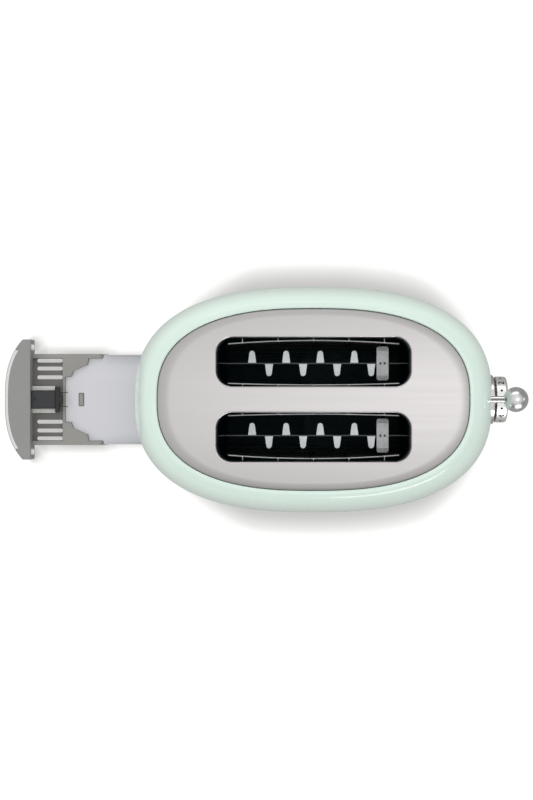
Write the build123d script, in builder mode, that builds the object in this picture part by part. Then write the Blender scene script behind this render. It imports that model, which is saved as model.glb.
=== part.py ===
"""Two-slot pop-up toaster with a drawn-out crumb tray, as an assembly of separate pieces.

Frame: +Z up, +X towards the lever end, origin on the standing surface under the middle of the
whole part as stored (crumb tray drawn out, bread carriage up). Lengths are millimetres.
"""

import math
import os

from build123d import *

os.makedirs("parts", exist_ok=True)

# ---------------------------------------------------------------- driving dimensions
OVAL_N = 2.55              # exponent of the superelliptic plan outline
BODY_A, BODY_B = 145.5, 92.5      # half length and half width of the painted body at its widest
RIM_A, RIM_B = 120.5, 71.3        # crest of the shoulder round the top opening
LIP_A, LIP_B = 117.9, 68.7        # top opening
Z_BELLY, Z_CREST, Z_HEM = 62.0, 196.0, 27.0
HEM_IN = 5.0                      # how far the body draws in at its bottom edge
SHEET = 1.4                       # painted body wall

PLATE_A, PLATE_B = 117.75, 68.55  # brushed top plate
PLATE_TOP, PLATE_SKIRT, PLATE_T, PLATE_R = 194.7, 187.0, 1.2, 0.8

SLOT_L, SLOT_W, SLOT_R, SLOT_Y = 146.0, 36.8, 12.0, 28.4   # bread slots

PLINTH_A, PLINTH_B, PLINTH_TOP = 136.5, 83.0, 25.3
PLINTH_N = 2.75                   # its outline is a little fuller than the body's
BAND_T = 1.0
BASE_Z, BASE_FLOOR = 3.0, 5.5
TRAY_TRAVEL = 131.2               # from drawn out, as stored, to shut
FACE_BACK, FACE_HALF_W, FACE_TOP = -114.5, 52.1, 25.0

END_X, END_T = 75.5, 0.8          # chassis end plates
RACK_Z = 143.0                    # bread rests at this height with the carriage up
TRAVEL = 65.0                     # carriage travel
LEVER_Z = 152.0
ROD_X, ROD_R = 96.0, 3.0
KNOB_Z, KNOB_R = 54.0, 19.4
KNOB_BACK, KNOB_FRONT, BEZEL_FRONT = 153.1, 162.6, 151.6
BUTTON_Y, BUTTON_ZS, BUTTON_TILT = 31.0, (45.0, 63.0), 16.7
GUARD_OFF, GUARD_AXLE_Z = 16.6, 57.0

# the stored part spans the tray's face to the lever ball, and its middle is the origin
BALL_X, BALL_R = 158.0, 9.8
X_SHIFT = (PLINTH_A + TRAY_TRAVEL - (BALL_X + BALL_R)) / 2


def save(builder, name):
    part = Pos(X_SHIFT, 0, 0) * builder.part
    part.label = name
    export_step(part, f"parts/{name}.step")


def oval(z, a, b, n=OVAL_N):
    """Closed superelliptic face at height z, its outline one smooth periodic curve."""
    pts = []
    for i in range(32):
        t = math.radians(45 + 360 * i / 32)
        c, d = math.cos(t), math.sin(t)
        pts.append((math.copysign(a * abs(c) ** (2 / n), c) if abs(c) > 1e-9 else 0.0,
                    math.copysign(b * abs(d) ** (2 / n), d) if abs(d) > 1e-9 else 0.0))
    with BuildSketch(Plane.XY.offset(z)) as sk:
        with BuildLine():
            Spline(*pts, periodic=True)
        make_face()
    return sk.sketch


def body_sections(inset, z_low):
    """Outlines of the body skin, drawn in by inset, from z_low up to the crest."""
    faces = []
    for z in (z_low, 38.0, 50.0):
        drop = HEM_IN * ((Z_BELLY - z) / (Z_BELLY - Z_HEM)) ** 2
        faces.append(oval(z, BODY_A - drop - inset, BODY_B - drop - inset))
    for deg in (0, 12, 24, 36, 48, 60, 70, 80, 90):
        c, s = math.cos(math.radians(deg)), math.sin(math.radians(deg))
        faces.append(oval(Z_BELLY + (Z_CREST - Z_BELLY - inset) * s,
                          RIM_A + (BODY_A - RIM_A - inset) * c,
                          RIM_B + (BODY_B - RIM_B - inset) * c))
    return faces


# ================================================================ housing
with BuildPart() as body_outer:            # plain outside volume, for cutting trim to the skin
    loft(sections=body_sections(-0.05, Z_HEM))

with BuildPart() as body_lip:              # turned-down lip round the top opening
    extrude(oval(190.5, LIP_A + 1.3, LIP_B + 1.3), amount=Z_CREST - 190.5)
    extrude(oval(180.0, LIP_A, LIP_B), amount=30, mode=Mode.SUBTRACT)
    fillet(body_lip.faces().sort_by(Axis.Z)[-1].inner_wires()[0].edges(), radius=1.1)

with BuildPart() as body_shell:
    loft(sections=body_sections(0, Z_HEM))
    loft(sections=body_sections(SHEET, Z_HEM - 1.0), mode=Mode.SUBTRACT)
    extrude(oval(180.0, LIP_A + 1.3, LIP_B + 1.3), amount=30, mode=Mode.SUBTRACT)
    add(body_lip.part)
    # lever slot in the end
    with BuildSketch(Plane.YZ.offset(160)):
        with Locations((0, LEVER_Z - TRAVEL / 2)):
            SlotOverall(TRAVEL + 8.4, 7.2, rotation=90)
    extrude(amount=-45, mode=Mode.SUBTRACT)
    # opening for the browning control
    with BuildSketch(Plane.YZ.offset(160)):
        with Locations((0, KNOB_Z)):
            Circle(12.3)
    extrude(amount=-45, mode=Mode.SUBTRACT)
    # push-button openings, square to the skin
    for side in (1, -1):
        for bz in BUTTON_ZS:
            tilt = math.radians(BUTTON_TILT) * side
            with BuildSketch(Plane(origin=(141.8, side * BUTTON_Y, bz), x_dir=(0, 0, 1), z_dir=(math.cos(tilt), math.sin(tilt), 0))):
                Circle(5.35)
            extrude(amount=9, both=True, mode=Mode.SUBTRACT)
save(body_shell, "body_shell")

with BuildPart() as plate_inside:
    extrude(oval(PLATE_SKIRT, PLATE_A - PLATE_T, PLATE_B - PLATE_T), amount=PLATE_TOP - PLATE_SKIRT - PLATE_T)

with BuildPart() as top_plate:
    extrude(oval(PLATE_SKIRT, PLATE_A, PLATE_B), amount=PLATE_TOP - PLATE_SKIRT)
    fillet(top_plate.faces().sort_by(Axis.Z)[-1].edges(), radius=PLATE_R)
    add(plate_inside.part, mode=Mode.SUBTRACT)
    # slot flanges turned down
    with BuildSketch(Plane.XY.offset(PLATE_SKIRT)):
        with Locations((0, SLOT_Y), (0, -SLOT_Y)):
            RectangleRounded(SLOT_L + 2 * PLATE_T, SLOT_W + 2 * PLATE_T, SLOT_R + PLATE_T)
    extrude(amount=PLATE_TOP - PLATE_SKIRT - 0.5)
    with BuildSketch(Plane.XY.offset(PLATE_SKIRT - 1)):
        with Locations((0, SLOT_Y), (0, -SLOT_Y)):
            RectangleRounded(SLOT_L, SLOT_W, SLOT_R)
    extrude(amount=20, mode=Mode.SUBTRACT)
    rims = [e for e in top_plate.edges() if abs(e.center().Z - PLATE_TOP) < 0.01 and e.bounding_box().size.Z < 0.01
            and abs(e.center().X) < SLOT_L / 2 + 1 and abs(abs(e.center().Y) - SLOT_Y) < SLOT_W / 2 + 0.1]
    fillet(rims, radius=1.3)
save(top_plate, "top_plate")

# blackened collars that line the bread slots below the plate
for name, y in (("slot_collar_rear", SLOT_Y), ("slot_collar_front", -SLOT_Y)):
    with BuildPart() as collar:
        with BuildSketch(Plane.XY.offset(172.0)):
            with Locations((0, y)):
                RectangleRounded(SLOT_L + 1.8, SLOT_W + 1.8, SLOT_R + 0.9)
                RectangleRounded(SLOT_L, SLOT_W, SLOT_R, mode=Mode.SUBTRACT)
        extrude(amount=PLATE_SKIRT - 172.0 - 0.05)
    save(collar, name)

# ================================================================ base and plinth
with BuildPart() as base_moulding:
    extrude(oval(BASE_Z, PLINTH_A - BAND_T - 0.05, PLINTH_B - BAND_T - 0.05, PLINTH_N), amount=29.0 - BASE_Z)
    extrude(oval(BASE_FLOOR, PLINTH_A - BAND_T - 2.3, PLINTH_B - BAND_T - 2.3, PLINTH_N), amount=30, mode=Mode.SUBTRACT)
    # flange that carries the painted body
    extrude(oval(PLINTH_TOP, 139.4, 86.4), amount=Z_HEM - PLINTH_TOP)
    extrude(oval(PLINTH_TOP - 1, PLINTH_A - BAND_T - 2.3, PLINTH_B - BAND_T - 2.3, PLINTH_N), amount=8, mode=Mode.SUBTRACT)
    # mouth for the tray's face, and a bulkhead behind it
    with BuildSketch(Plane.XY.offset(0)):
        with Locations((FACE_BACK - 29.7, 0)):
            Rectangle(60, 2 * FACE_HALF_W + 1.2)
    extrude(amount=PLINTH_TOP, mode=Mode.SUBTRACT)
    with BuildSketch(Plane.XY.offset(BASE_Z)):
        with Locations((FACE_BACK + 1.4, 0)):
            Rectangle(2.2, 106)
    extrude(amount=26)
    with BuildSketch(Plane.XY.offset(BASE_FLOOR)):
        with Locations((FACE_BACK, 0)):
            Rectangle(20, 81.2)
    extrude(amount=18.5, mode=Mode.SUBTRACT)
    with BuildSketch(Plane.YZ.offset(FACE_BACK - 5)):        # holes that take the tray's bumpers
        with Locations((45.3, 19.5), (-45.3, 19.5)):
            Circle(3.2)
    extrude(amount=12, mode=Mode.SUBTRACT)
    # rails beside the tray
    with BuildSketch(Plane.XY.offset(BASE_FLOOR - 0.5)):
        with Locations((0.5, 41.3), (0.5, -41.3)):
            Rectangle(225, 2.0)
    extrude(amount=15)
    with BuildSketch(Plane.XY.offset(BASE_FLOOR - 0.5)):     # ledges it runs on
        with Locations((0.5, 38.9), (0.5, -38.9)):
            Rectangle(225, 3.2)
    extrude(amount=3.3)
    # screw bosses
    with BuildSketch(Plane.XY.offset(BASE_FLOOR - 0.5)):
        with Locations((88, 57), (88, -57), (-88, 57), (-88, -57)):
            Circle(5)
    extrude(amount=29.0 - BASE_FLOOR + 0.5)
    with BuildSketch(Plane.XY.offset(0)):
        with Locations((88, 57), (88, -57), (-88, 57), (-88, -57)):
            Circle(1.75)
    extrude(amount=26, mode=Mode.SUBTRACT)
    with BuildSketch(Plane.XY.offset(0)):
        with Locations((88, 57), (88, -57), (-88, 57), (-88, -57)):
            Circle(3.8)
    extrude(amount=6.5, mode=Mode.SUBTRACT)
    # foot sockets
    with BuildSketch(Plane.XY.offset(0)):
        with Locations((98, 50), (98, -50), (-98, 50), (-98, -50)):
            Circle(2.6)
    extrude(amount=8, mode=Mode.SUBTRACT)
    # cord gland seat in the rear wall
    with BuildSketch(Plane.XZ.offset(-95)):
        with Locations((50, 14.5)):
            Circle(6.1)
    extrude(amount=25, mode=Mode.SUBTRACT)
save(base_moulding, "base_moulding")

with BuildPart() as plinth_band:
    extrude(oval(BASE_Z + 0.6, PLINTH_A, PLINTH_B, PLINTH_N), amount=PLINTH_TOP - BASE_Z - 0.7)
    extrude(oval(BASE_Z, PLINTH_A - BAND_T, PLINTH_B - BAND_T, PLINTH_N), amount=30, mode=Mode.SUBTRACT)
    with BuildSketch(Plane.XY):
        with Locations((FACE_BACK - 29.7, 0)):
            Rectangle(60, 2 * FACE_HALF_W + 1.2)
    extrude(amount=40, mode=Mode.SUBTRACT)
    with BuildSketch(Plane.XZ.offset(-95)):
        with Locations((50, 14.5)):
            Circle(6.1)
    extrude(amount=25, mode=Mode.SUBTRACT)
save(plinth_band, "plinth_band")

with BuildPart() as cord_gland:
    with BuildSketch(Plane.XZ.offset(-84.6)):                # flange, its back cut to the band's curve
        with Locations((50, 14.5)):
            Circle(8.0)
    extrude(amount=8.0)
    fillet(cord_gland.faces().sort_by(Axis.Y)[-1].edges(), radius=1.0)
    extrude(oval(0, PLINTH_A + 0.05, PLINTH_B + 0.05, PLINTH_N), amount=40, mode=Mode.SUBTRACT)
    with BuildSketch(Plane.XZ.offset(-83.0)):
        with Locations((50, 14.5)):
            Circle(6.0)
    extrude(amount=11.0)
    with BuildSketch(Plane.XZ.offset(-95)):
        with Locations((50, 14.5)):
            Circle(3.6)
    extrude(amount=30, mode=Mode.SUBTRACT)
save(cord_gland, "cord_gland")

with BuildPart() as rubber_feet:
    for fx, fy in ((98, 50), (98, -50), (-98, 50), (-98, -50)):
        with BuildSketch(Plane.XY):
            with Locations((fx, fy)):
                Circle(8)
        extrude(amount=BASE_Z - 0.02)
        with BuildSketch(Plane.XY.offset(BASE_Z - 0.5)):
            with Locations((fx, fy)):
                Circle(2.45)
        extrude(amount=3.4)
    chamfer(rubber_feet.faces().filter_by(lambda f: abs(f.center().Z) < 0.01).edges(), length=0.8)
save(rubber_feet, "rubber_feet")

with BuildPart() as base_screws:
    for sx, sy in ((88, 57), (88, -57), (-88, 57), (-88, -57)):
        with BuildSketch(Plane.XY.offset(4.0)):
            with Locations((sx, sy)):
                Circle(3.5)
        extrude(amount=2.4)
        with BuildSketch(Plane.XY.offset(6.0)):
            with Locations((sx, sy)):
                Circle(1.65)
        extrude(amount=18)
        with BuildSketch(Plane.XY.offset(3.9)):
            with Locations((sx, sy)):
                Rectangle(4.4, 0.9)
                Rectangle(0.9, 4.4)
        extrude(amount=1.3, mode=Mode.SUBTRACT)
save(base_screws, "base_screws")

# ================================================================ chassis
with BuildPart() as chassis_floor:
    extrude(oval(29.1, 131.0, 77.5), amount=0.9)
    with BuildSketch(Plane.XY.offset(28)):
        Rectangle(2 * END_X - 6, 104)
    extrude(amount=4, mode=Mode.SUBTRACT)
    with BuildSketch(Plane.XY.offset(28)):
        with Locations((ROD_X, 0)):
            Circle(ROD_R + 0.03)
    extrude(amount=4, mode=Mode.SUBTRACT)
save(chassis_floor, "chassis_floor")

# striker that the tray's latch closes against, hung from the chassis floor
with BuildPart() as latch_striker:
    with BuildSketch(Plane.XZ.offset(-5)):
        with BuildLine():
            Polyline((-92, 29.05), (-92, 28.05), (-87.6, 28.05), (-87.6, 13.6), (-86.6, 13.6), (-86.6, 29.05), close=True)
        make_face()
    extrude(amount=10)
save(latch_striker, "latch_striker")

for name, sx in (("end_plate_lever", 1), ("end_plate_tray", -1)):
    with BuildPart() as end_plate:
        with BuildSketch(Plane.YZ.offset(sx * END_X)):
            with Locations((0, 108)):
                RectangleRounded(116, 155.8, 4)
        extrude(amount=sx * END_T)
        # foot flange on the chassis floor
        with BuildSketch(Plane.XY.offset(30.05)):
            with Locations((sx * (END_X + 4.5), 0)):
                Rectangle(9, 100)
        extrude(amount=1.0)
        # vertical guide slots for the bread racks
        with BuildSketch(Plane.YZ.offset(60 * sx)):
            with Locations((SLOT_Y, RACK_Z - 3 - TRAVEL / 2), (-SLOT_Y, RACK_Z - 3 - TRAVEL / 2)):
                SlotOverall(TRAVEL + 13, 2.6, rotation=90)
            with Locations(*[(s * SLOT_Y + g * GUARD_OFF, GUARD_AXLE_Z) for s in (1, -1) for g in (1, -1)]):
                Circle(0.88)
            # cooling windows clear of the slots
            with Locations((0, 90), (0, 128)):
                RectangleRounded(16, 24, 3)
        extrude(amount=sx * 30, mode=Mode.SUBTRACT)
    save(end_plate, name)

for name, y in (("reflector_rear", 55.5), ("reflector_front", -56.1)):
    with BuildPart() as reflector:
        with BuildSketch(Plane.XZ.offset(-y)):
            with Locations((0, 108)):
                Rectangle(2 * END_X - 0.4, 140)
            with Locations(*[(gx, gz) for gx in (-50, -25, 0, 25, 50) for gz in (62, 154)]):
                SlotOverall(16, 4, mode=Mode.SUBTRACT)
        extrude(amount=-0.6)
    save(reflector, name)

with BuildPart() as chassis_rivets:
    for sx in (1, -1):
        for ry in (-40, 0, 40):
            with BuildSketch(Plane.XY.offset(31.06)):
                with Locations((sx * (END_X + 5), ry)):
                    Circle(2.2)
            extrude(amount=1.1)
    fillet(chassis_rivets.faces().filter_by(lambda f: abs(f.center().Z - 32.16) < 0.01).edges(), radius=0.8)
save(chassis_rivets, "chassis_rivets")

# ================================================================ heating elements
BOARDS = (("outer_rear", 51.0, -1), ("inner_rear", 5.4, 1), ("inner_front", -6.0, -1), ("outer_front", -51.6, 1))
for name, y, face in BOARDS:
    with BuildPart() as mica:
        with BuildSketch(Plane.XZ.offset(-y)):
            with Locations((0, 118)):
                Rectangle(2 * END_X - 1.2, 116)
        extrude(amount=-0.6)
        for nz in range(10):           # winding notches along both ends
            with BuildSketch(Plane.XZ.offset(-y + 1)):
                with Locations((END_X - 0.6, 68 + 11 * nz), (-(END_X - 0.6), 68 + 11 * nz)):
                    Rectangle(3, 3)
            extrude(amount=-4, mode=Mode.SUBTRACT)
    save(mica, f"mica_board_{name}")
    with BuildPart() as ribbon:        # flat resistance ribbon laid in a serpentine on the bread side
        yy = y + 0.61 if face > 0 else y - 0.26
        with BuildSketch(Plane.XZ.offset(-yy)):
            for nz in range(10):
                with Locations((0, 68 + 11 * nz)):
                    Rectangle(138, 2.2)
            for nz in range(9):
                with Locations(((68.0 if nz % 2 else -68.0), 73.5 + 11 * nz)):
                    Rectangle(2.0, 13.2)
        extrude(amount=-0.25)
    save(ribbon, f"heater_ribbon_{name}")

# ================================================================ bread guards, one each side of each slot
GUARDS = (("bread_guard_outer_rear", "bread_guard_outer_front", SLOT_Y, 16.6, 2.6),
          ("bread_guard_inner_front", "bread_guard_inner_rear", -SLOT_Y, 17.4, 1.2))
RAIL_TOP = 181.0
for name, twin, yc, top_off, sag in GUARDS:

    def wire_y(x, z, proud=0.0):
        """Side offset of the wires at x and z: they lean with height and the rails bow towards the wall."""
        rise = (z - GUARD_AXLE_Z) / (RAIL_TOP - GUARD_AXLE_Z)
        return yc + GUARD_OFF + rise * (top_off - GUARD_OFF - sag * (x / 65) ** 2) + proud

    with BuildPart() as guard:
        with BuildSketch(Plane.YZ.offset(-78.5)):                      # axle
            with Locations((yc + GUARD_OFF, GUARD_AXLE_Z)):
                Circle(0.8)
        extrude(amount=157)
        for wz, half in ((95.0, 69.0), (138.0, 69.0), (RAIL_TOP, 65.0)):    # bowed rails
            with BuildLine() as rail:
                ThreePointArc((-half, wire_y(half, wz), wz), (0, wire_y(0, wz), wz), (half, wire_y(half, wz), wz))
            with BuildSketch(Plane(origin=rail.line @ 0, z_dir=rail.line % 0)):
                Circle(0.55)
            sweep(path=rail.line)
        for wx in (-54, -27, 0, 27, 54):                               # uprights, and stubs that keep the rail off the wall
            foot = Vector(wx, wire_y(wx, GUARD_AXLE_Z, 0.2), GUARD_AXLE_Z)
            head = Vector(wx, wire_y(wx, 182.6, 0.2), 182.6)
            with BuildSketch(Plane(origin=foot, z_dir=head - foot)):
                Circle(0.5)
            extrude(amount=(head - foot).length)
            near, far = wire_y(wx, RAIL_TOP, 0.1), yc + 18.0
            with BuildSketch(Plane(origin=(wx, near, RAIL_TOP - 0.35), z_dir=(0, 1, 0))):
                Circle(0.4)
            extrude(amount=far - near)
    save(guard, name)
    with BuildPart() as guard_twin:                                    # the guard across the centre line is its mirror image
        mirror(guard.part, about=Plane.XZ)
    save(guard_twin, twin)

# ================================================================ bread carriage
def tooth(x, y0, sgn):
    """Rounded support tab that reaches sideways from a rack's spine."""
    return [(x - 3.2, y0), (x - 2.2, y0 + sgn * 7.6), (x + 2.2, y0 + sgn * 7.6), (x + 3.2, y0)]


for name, y in (("bread_rack_rear", SLOT_Y), ("bread_rack_front", -SLOT_Y)):
    with BuildPart() as rack:
        with BuildSketch(Plane.XZ.offset(-y + 0.4)):
            with Locations((3.5, RACK_Z - 3.0)):
                Rectangle(165, 6.0)
        extrude(amount=-0.8)
        for i in range(4):
            for tx, sgn in ((-48.3 + 26.8 * i, 1), (-35.0 + 26.8 * i, -1)):
                pts = tooth(tx, y + sgn * 0.3, sgn)
                with BuildSketch(Plane.XY.offset(RACK_Z - 1.0)):
                    with BuildLine():
                        Line(pts[0], pts[1])
                        ThreePointArc(pts[1], (tx, y + sgn * 10.0), pts[2])
                        Line(pts[2], pts[3])
                        Line(pts[3], pts[0])
                    make_face()
                extrude(amount=1.0)
    save(rack, name)

for name, y in (("guard_spreader_rear", SLOT_Y), ("guard_spreader_front", -SLOT_Y)):
    with BuildPart() as spreader:
        with BuildSketch(Plane.YZ.offset(49.6)):
            with BuildLine():
                Polyline((y - 13.3, 142.4), (y - 9.6, RACK_Z + 0.05), (y + 9.6, RACK_Z + 0.05), (y + 13.3, 142.4),
                         (y + 13.3, 143.3), (y + 9.7, RACK_Z + 0.95), (y - 9.7, RACK_Z + 0.95), (y - 13.3, 143.3), close=True)
            make_face()
        extrude(amount=9.4)
        corners = [e for e in spreader.edges().filter_by(lambda e: e.bounding_box().size.X < 0.01 and e.bounding_box().size.Y < 0.01)]
        chamfer(corners, length=1.2)
        with BuildSketch(Plane.XY.offset(RACK_Z - 2)):      # two lanced nibs over the spine
            with Locations((52.6, y), (56.0, y)):
                Rectangle(1.5, 1.7)
        extrude(amount=6, mode=Mode.SUBTRACT)
    save(spreader, name)

with BuildPart() as carriage_slider:
    with BuildSketch(Plane.XY.offset(132)):
        with Locations((ROD_X, 0)):
            Rectangle(14, 18)
    extrude(amount=28)
    with BuildSketch(Plane.YZ.offset(86.05)):               # cross bar that picks up both racks
        with Locations((0, 140)):
            Rectangle(66, 8)
    extrude(amount=4)
    with BuildSketch(Plane.XY.offset(132)):                 # lug over the magnet
        with Locations((108, 14.5)):
            Rectangle(24, 18)
    extrude(amount=4)
    with BuildSketch(Plane.XY.offset(130)):
        with Locations((ROD_X, 0)):
            Circle(ROD_R + 0.06)
    extrude(amount=40, mode=Mode.SUBTRACT)
save(carriage_slider, "carriage_slider")

with BuildPart() as keeper_plate:
    with BuildSketch(Plane.XY.offset(128.9)):
        with Locations((112, 16)):
            RectangleRounded(15, 14, 1.5)
    extrude(amount=3.05)
save(keeper_plate, "keeper_plate")

with BuildPart() as lever_arm:
    with BuildSketch(Plane.YZ.offset(103.05)):               # flange on the slider
        with Locations((0, LEVER_Z)):
            RectangleRounded(15, 12, 2)
    extrude(amount=1.6)
    with BuildSketch(Plane.YZ.offset(104)):
        with Locations((0, LEVER_Z)):
            Circle(2.75)
    extrude(amount=49)
    with BuildSketch(Plane.YZ.offset(112)):                  # groove along the top
        with Locations((0, LEVER_Z + 2.75)):
            RectangleRounded(1.5, 2.0, 0.6)
    extrude(amount=36.5, mode=Mode.SUBTRACT)
save(lever_arm, "lever_arm")

with BuildPart() as lever_ball:
    with Locations((BALL_X, 0, LEVER_Z)):
        Sphere(BALL_R)
    with BuildSketch(Plane.YZ.offset(148.7)):                # slim neck round the rod
        with Locations((0, LEVER_Z)):
            Circle(3.4)
    extrude(amount=4)
    with BuildSketch(Plane.YZ.offset(140)):
        with Locations((0, LEVER_Z)):
            Circle(2.77)
    extrude(amount=13.05, mode=Mode.SUBTRACT)
save(lever_ball, "lever_ball")

with BuildPart() as guide_rod:
    with BuildSketch(Plane.XY.offset(26.0)):
        with Locations((ROD_X, 0)):
            Circle(ROD_R)
    extrude(amount=150.5)
save(guide_rod, "guide_rod")

with BuildPart() as rod_bracket:
    with BuildSketch(Plane.XZ.offset(-9)):
        with BuildLine():
            Polyline((76.35, 162), (77.75, 162), (77.75, 172), (104, 172), (104, 173.4), (76.35, 173.4), close=True)
        make_face()
    extrude(amount=18)
    with BuildSketch(Plane.XY.offset(165)):
        with Locations((ROD_X, 0)):
            Circle(ROD_R + 0.03)
    extrude(amount=12, mode=Mode.SUBTRACT)
save(rod_bracket, "rod_bracket")

with BuildPart() as return_spring:
    with BuildLine() as coil:
        Helix(pitch=7.0, height=100.6, radius=4.6, center=(ROD_X, 0, 30.7))
    with BuildSketch(Plane(origin=coil.line @ 0, z_dir=coil.line % 0)):
        Circle(0.6)
    sweep(path=coil.line, is_frenet=True)
save(return_spring, "return_spring")

# ================================================================ electrical parts
with BuildPart() as magnet_core:
    with BuildSketch(Plane.XY.offset(30.05)):
        with Locations((112, 16)):
            RectangleRounded(15, 14, 1.5)
    extrude(amount=3)
    with BuildSketch(Plane.XY.offset(32)):
        with Locations((112, 16)):
            Circle(3.6)
    extrude(amount=31.5)
save(magnet_core, "magnet_core")

with BuildPart() as magnet_coil:
    with BuildSketch(Plane.XY.offset(33.1)):
        with Locations((112, 16)):
            Circle(7.6)
    extrude(amount=1.6)
    with BuildSketch(Plane.XY.offset(34)):
        with Locations((112, 16)):
            Circle(6.8)
    extrude(amount=24)
    with BuildSketch(Plane.XY.offset(57)):
        with Locations((112, 16)):
            Circle(7.6)
    extrude(amount=1.6)
    with BuildSketch(Plane.XY.offset(30)):
        with Locations((112, 16)):
            Circle(3.65)
    extrude(amount=40, mode=Mode.SUBTRACT)
save(magnet_coil, "magnet_coil")

with BuildPart() as control_board:
    with BuildSketch(Plane.YZ.offset(122)):
        with Locations((0, 54)):
            Rectangle(72, 47)
    extrude(amount=1.6)
save(control_board, "control_board")

with BuildPart() as potentiometer:
    with BuildSketch(Plane.YZ.offset(123.65)):
        with Locations((0, KNOB_Z)):
            Circle(8.5)
    extrude(amount=7)
    with BuildSketch(Plane.YZ.offset(130)):
        with Locations((0, KNOB_Z)):
            Circle(4.6)
    extrude(amount=6)
    with BuildSketch(Plane.YZ.offset(126)):
        with Locations((0, KNOB_Z)):
            Circle(3.06)
    extrude(amount=20, mode=Mode.SUBTRACT)
save(potentiometer, "potentiometer")

with BuildPart() as button_switches:
    for side in (1, -1):
        for bz in BUTTON_ZS:
            with BuildSketch(Plane.YZ.offset(123.65)):
                with Locations((side * 27.2, bz)):
                    Rectangle(6, 6)
            extrude(amount=3.2)
save(button_switches, "button_switches")

with BuildPart() as power_contacts:
    with BuildSketch(Plane.YZ.offset(112)):
        with Locations((-22, 52)):
            RectangleRounded(13, 16, 1.5)
    extrude(amount=9.9)
    with BuildSketch(Plane.XY.offset(59.0)):
        with Locations((114, -25), (114, -19)):
            Rectangle(2.5, 3)
    extrude(amount=9)
save(power_contacts, "power_contacts")

# ================================================================ browning control
with BuildPart() as knob_bezel:
    with BuildSketch(Plane.YZ.offset(140)):
        with Locations((0, KNOB_Z)):
            Circle(20.8)
    extrude(amount=BEZEL_FRONT - 140)
    fillet(knob_bezel.faces().sort_by(Axis.X)[-1].edges(), radius=1.0)
    add(body_outer.part, mode=Mode.SUBTRACT)
    with BuildSketch(Plane.YZ.offset(138.5)):               # spigot through the skin
        with Locations((0, KNOB_Z)):
            Circle(12.0)
    extrude(amount=10)
    with BuildSketch(Plane.YZ.offset(BEZEL_FRONT - 1.6)):   # shallow dish in the front
        with Locations((0, KNOB_Z)):
            Circle(18.0)
    extrude(amount=5, mode=Mode.SUBTRACT)
    with BuildSketch(Plane.YZ.offset(130)):
        with Locations((0, KNOB_Z)):
            Circle(4.2)
    extrude(amount=30, mode=Mode.SUBTRACT)
save(knob_bezel, "knob_bezel")

with BuildPart() as browning_knob:
    with BuildSketch(Plane.XZ):
        with BuildLine():
            Polyline((KNOB_BACK, KNOB_Z), (KNOB_BACK, KNOB_Z + KNOB_R - 0.4), (KNOB_BACK + 0.4, KNOB_Z + KNOB_R), (KNOB_FRONT - 2.0, KNOB_Z + KNOB_R))
            ThreePointArc((KNOB_FRONT - 2.0, KNOB_Z + KNOB_R), (KNOB_FRONT - 0.586, KNOB_Z + KNOB_R - 0.586), (KNOB_FRONT, KNOB_Z + KNOB_R - 2.0))
            Polyline((KNOB_FRONT, KNOB_Z + KNOB_R - 2.0), (KNOB_FRONT, KNOB_Z + 15.2), (KNOB_FRONT - 0.7, KNOB_Z + 14.4),
                     (KNOB_FRONT - 0.7, KNOB_Z), (KNOB_BACK, KNOB_Z))
        make_face()
    revolve(axis=Axis((0, 0, KNOB_Z), (1, 0, 0)))
    with BuildSketch(Plane.YZ.offset(150)):
        with Locations((0, KNOB_Z)):
            Circle(16.8)
            Circle(6.0, mode=Mode.SUBTRACT)
    extrude(amount=8.9, mode=Mode.SUBTRACT)
    with BuildSketch(Plane.YZ.offset(150)):
        with Locations((0, KNOB_Z)):
            Circle(3.02)
    extrude(amount=9.0, mode=Mode.SUBTRACT)
    with BuildSketch(Plane.YZ.offset(KNOB_FRONT - 1.1)):     # pointer groove
        with Locations((0, KNOB_Z + 9.2)):
            SlotOverall(8.4, 1.3, rotation=90)
    extrude(amount=2, mode=Mode.SUBTRACT)
save(browning_knob, "browning_knob")

with BuildPart() as knob_shaft:
    with BuildSketch(Plane.YZ.offset(126.6)):
        with Locations((0, KNOB_Z)):
            Circle(3.0)
    extrude(amount=32.0)
save(knob_shaft, "knob_shaft")

# ================================================================ push buttons
BUTTONS = (("cancel_button", -1, BUTTON_ZS[1]), ("defrost_button", 1, BUTTON_ZS[1]),
           ("reheat_button", -1, BUTTON_ZS[0]), ("bagel_button", 1, BUTTON_ZS[0]))
for name, side, bz in BUTTONS:
    tilt = math.radians(BUTTON_TILT) * side
    n = Vector(math.cos(tilt), math.sin(tilt), 0)
    p0 = Vector(141.8, side * BUTTON_Y, bz)
    with BuildPart() as button:
        with BuildSketch(Plane(origin=p0 - n * 6.0, x_dir=(0, 0, 1), z_dir=n)):
            Circle(5.0)
        extrude(amount=8.2)
        tip = button.faces().sort_by(lambda f: f.center().dot(n))[-1]
        fillet(tip.edges(), radius=0.9)
        with BuildSketch(Plane(origin=p0 - n * 6.0, x_dir=(0, 0, 1), z_dir=n)):
            Circle(6.3)
        extrude(amount=1.4)
        with BuildSketch(Plane(origin=p0 - n * 13.2, x_dir=(0, 0, 1), z_dir=n)):
            Circle(1.6)
        extrude(amount=8.0)
    save(button, name)

# ================================================================ crumb tray, drawn out
OUT = -TRAY_TRAVEL
with BuildPart() as strip_room:            # rebate for the polished strip
    extrude(oval(3.0, PLINTH_A + 5, PLINTH_B + 5, PLINTH_N), amount=30)
    extrude(oval(2.0, PLINTH_A - 2.85, PLINTH_B - 2.85, PLINTH_N), amount=40, mode=Mode.SUBTRACT)
    with BuildSketch(Plane.XY):
        with Locations((-140, 0)):
            Rectangle(60, 86)
    extrude(amount=40, mode=Mode.INTERSECT)

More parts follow.
